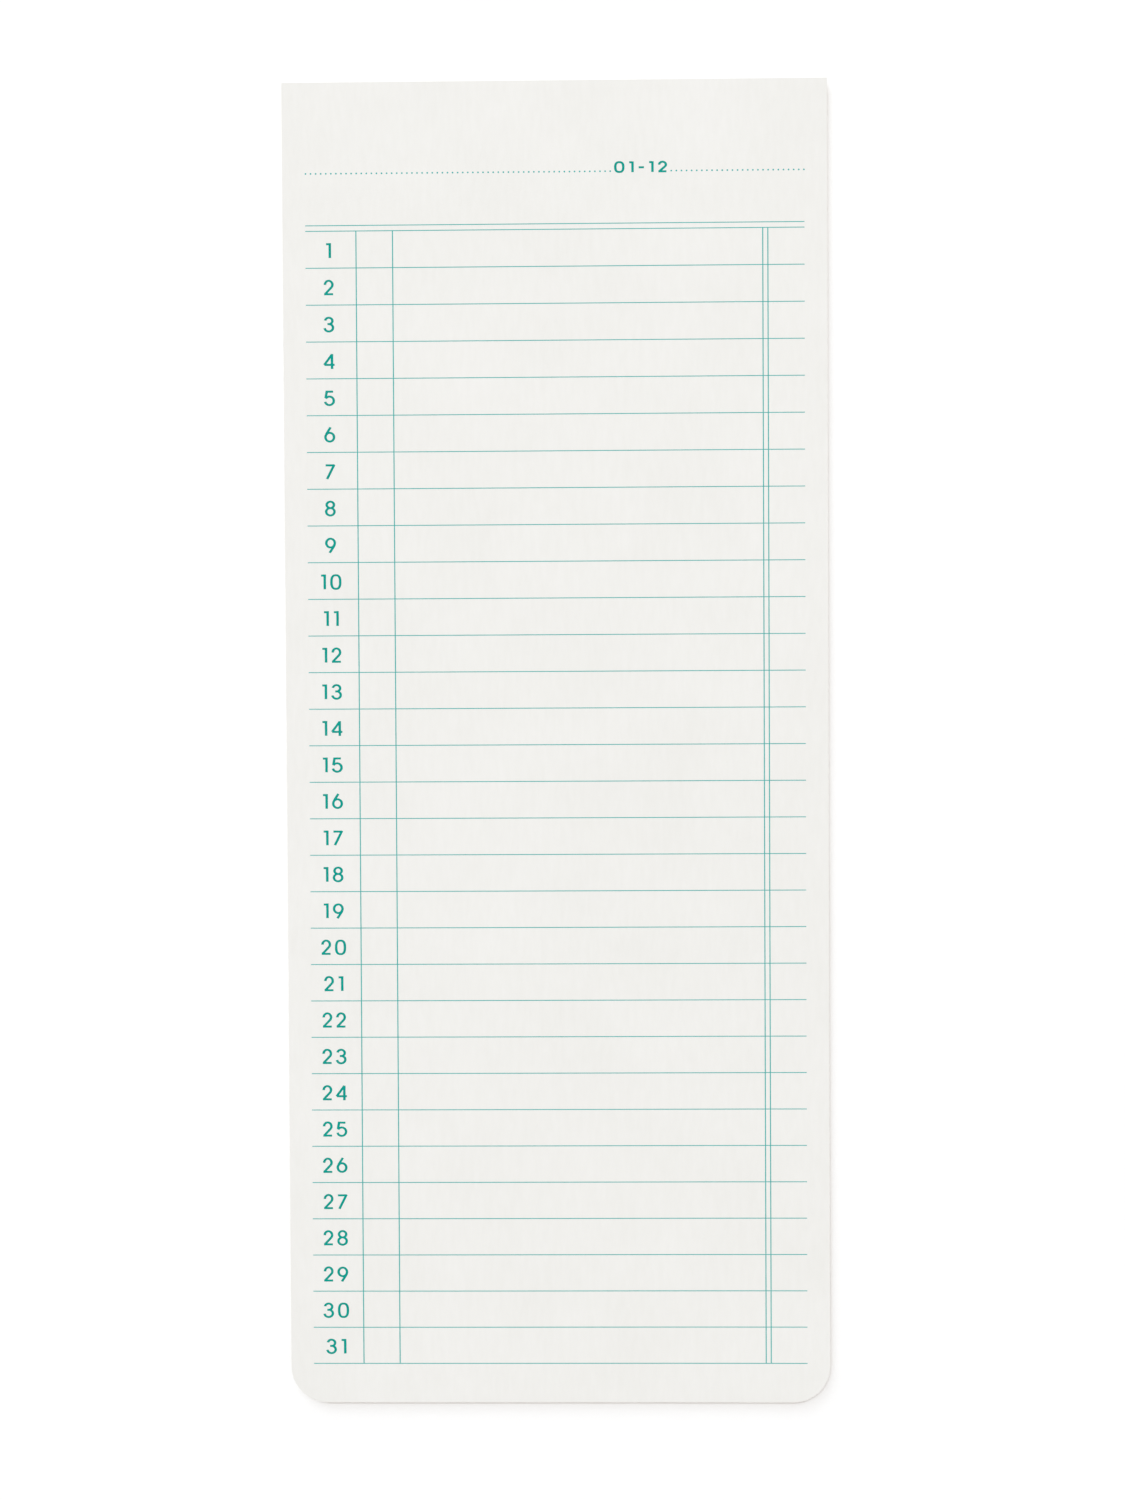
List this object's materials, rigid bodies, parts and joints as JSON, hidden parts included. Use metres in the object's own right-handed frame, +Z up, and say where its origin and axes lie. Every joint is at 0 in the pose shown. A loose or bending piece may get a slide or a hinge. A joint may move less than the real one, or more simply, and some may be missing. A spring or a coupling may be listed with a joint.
{
  "type": "sticker memo pad",
  "caption": "Thin pad of removable sticky memo leaves, ruled and numbered for the days of a month, held along the head to a backing card; leaves lift and peel off from the top.",
  "frame": {"origin": "middle of the backing card's underside, on the surface that the pad lies on", "axes": "+Z up out of the printed face, +Y towards the glued head edge, +X to the right of the print as it is read"},
  "size_m": [0.074, 0.1806, 0.0028],
  "materials": {
    "leaf_paper": "uncoated writing paper, matte, off-white",
    "print_ink": "thin matte green offset ink",
    "backing_board": "uncoated grey-white board",
    "removable_adhesive": "milky, tacky, slightly glossy"
  },
  "bodies": {
    "backing_card": {"backing_card": "backing_board"},
    "leaf_01": {"leaf_01": "leaf_paper", "glue_band_01": "removable_adhesive"},
    "leaf_02": {"leaf_02": "leaf_paper", "glue_band_02": "removable_adhesive"},
    "leaf_03": {"leaf_03": "leaf_paper", "glue_band_03": "removable_adhesive"},
    "leaf_04": {"leaf_04": "leaf_paper", "glue_band_04": "removable_adhesive"},
    "leaf_05": {"leaf_05": "leaf_paper", "glue_band_05": "removable_adhesive"},
    "leaf_06": {"leaf_06": "leaf_paper", "glue_band_06": "removable_adhesive"},
    "leaf_07": {"leaf_07": "leaf_paper", "glue_band_07": "removable_adhesive"},
    "leaf_08": {"leaf_08": "leaf_paper", "glue_band_08": "removable_adhesive"},
    "leaf_09": {"leaf_09": "leaf_paper", "glue_band_09": "removable_adhesive"},
    "leaf_10": {"leaf_10": "leaf_paper", "glue_band_10": "removable_adhesive"},
    "leaf_11": {"leaf_11": "leaf_paper", "glue_band_11": "removable_adhesive"},
    "leaf_12": {"leaf_12": "leaf_paper", "glue_band_12": "removable_adhesive"},
    "leaf_13": {"leaf_13": "leaf_paper", "glue_band_13": "removable_adhesive"},
    "leaf_14": {"leaf_14": "leaf_paper", "glue_band_14": "removable_adhesive"},
    "leaf_15": {"leaf_15": "leaf_paper", "glue_band_15": "removable_adhesive"},
    "leaf_16": {"leaf_16": "leaf_paper", "glue_band_16": "removable_adhesive"},
    "leaf_17": {"leaf_17": "leaf_paper", "glue_band_17": "removable_adhesive"},
    "leaf_18": {"leaf_18": "leaf_paper", "glue_band_18": "removable_adhesive"},
    "leaf_19": {"leaf_19": "leaf_paper", "glue_band_19": "removable_adhesive"},
    "top_leaf_head": {"top_leaf_head": "leaf_paper", "glue_band_20": "removable_adhesive"},
    "top_leaf_flap": {"top_leaf_flap": "leaf_paper"}
  },
  "joints": [
    {"name": "flap_turn", "type": "hinge", "parent": "top_leaf_head", "child": "top_leaf_flap", "pos_m": [0, 0.06775, 0.0028], "axis": [-1, 0, 0], "range_deg": [0, 150], "stiffness_Nm_per_rad": 0.0008},
    {"name": "peel_leaf_01", "type": "slide", "parent": "backing_card", "child": "leaf_01", "axis": [0, 0, 1], "range_m": [0, 0.01]},
    {"name": "peel_leaf_02", "type": "slide", "parent": "leaf_01", "child": "leaf_02", "axis": [0, 0, 1], "range_m": [0, 0.01]},
    {"name": "peel_leaf_03", "type": "slide", "parent": "leaf_02", "child": "leaf_03", "axis": [0, 0, 1], "range_m": [0, 0.01]},
    {"name": "peel_leaf_04", "type": "slide", "parent": "leaf_03", "child": "leaf_04", "axis": [0, 0, 1], "range_m": [0, 0.01]},
    {"name": "peel_leaf_05", "type": "slide", "parent": "leaf_04", "child": "leaf_05", "axis": [0, 0, 1], "range_m": [0, 0.01]},
    {"name": "peel_leaf_06", "type": "slide", "parent": "leaf_05", "child": "leaf_06", "axis": [0, 0, 1], "range_m": [0, 0.01]},
    {"name": "peel_leaf_07", "type": "slide", "parent": "leaf_06", "child": "leaf_07", "axis": [0, 0, 1], "range_m": [0, 0.01]},
    {"name": "peel_leaf_08", "type": "slide", "parent": "leaf_07", "child": "leaf_08", "axis": [0, 0, 1], "range_m": [0, 0.01]},
    {"name": "peel_leaf_09", "type": "slide", "parent": "leaf_08", "child": "leaf_09", "axis": [0, 0, 1], "range_m": [0, 0.01]},
    {"name": "peel_leaf_10", "type": "slide", "parent": "leaf_09", "child": "leaf_10", "axis": [0, 0, 1], "range_m": [0, 0.01]},
    {"name": "peel_leaf_11", "type": "slide", "parent": "leaf_10", "child": "leaf_11", "axis": [0, 0, 1], "range_m": [0, 0.01]},
    {"name": "peel_leaf_12", "type": "slide", "parent": "leaf_11", "child": "leaf_12", "axis": [0, 0, 1], "range_m": [0, 0.01]},
    {"name": "peel_leaf_13", "type": "slide", "parent": "leaf_12", "child": "leaf_13", "axis": [0, 0, 1], "range_m": [0, 0.01]},
    {"name": "peel_leaf_14", "type": "slide", "parent": "leaf_13", "child": "leaf_14", "axis": [0, 0, 1], "range_m": [0, 0.01]},
    {"name": "peel_leaf_15", "type": "slide", "parent": "leaf_14", "child": "leaf_15", "axis": [0, 0, 1], "range_m": [0, 0.01]},
    {"name": "peel_leaf_16", "type": "slide", "parent": "leaf_15", "child": "leaf_16", "axis": [0, 0, 1], "range_m": [0, 0.01]},
    {"name": "peel_leaf_17", "type": "slide", "parent": "leaf_16", "child": "leaf_17", "axis": [0, 0, 1], "range_m": [0, 0.01]},
    {"name": "peel_leaf_18", "type": "slide", "parent": "leaf_17", "child": "leaf_18", "axis": [0, 0, 1], "range_m": [0, 0.01]},
    {"name": "peel_leaf_19", "type": "slide", "parent": "leaf_18", "child": "leaf_19", "axis": [0, 0, 1], "range_m": [0, 0.01]},
    {"name": "peel_top_leaf", "type": "slide", "parent": "leaf_19", "child": "top_leaf_head", "axis": [0, 0, 1], "range_m": [0, 0.01]}
  ]
}
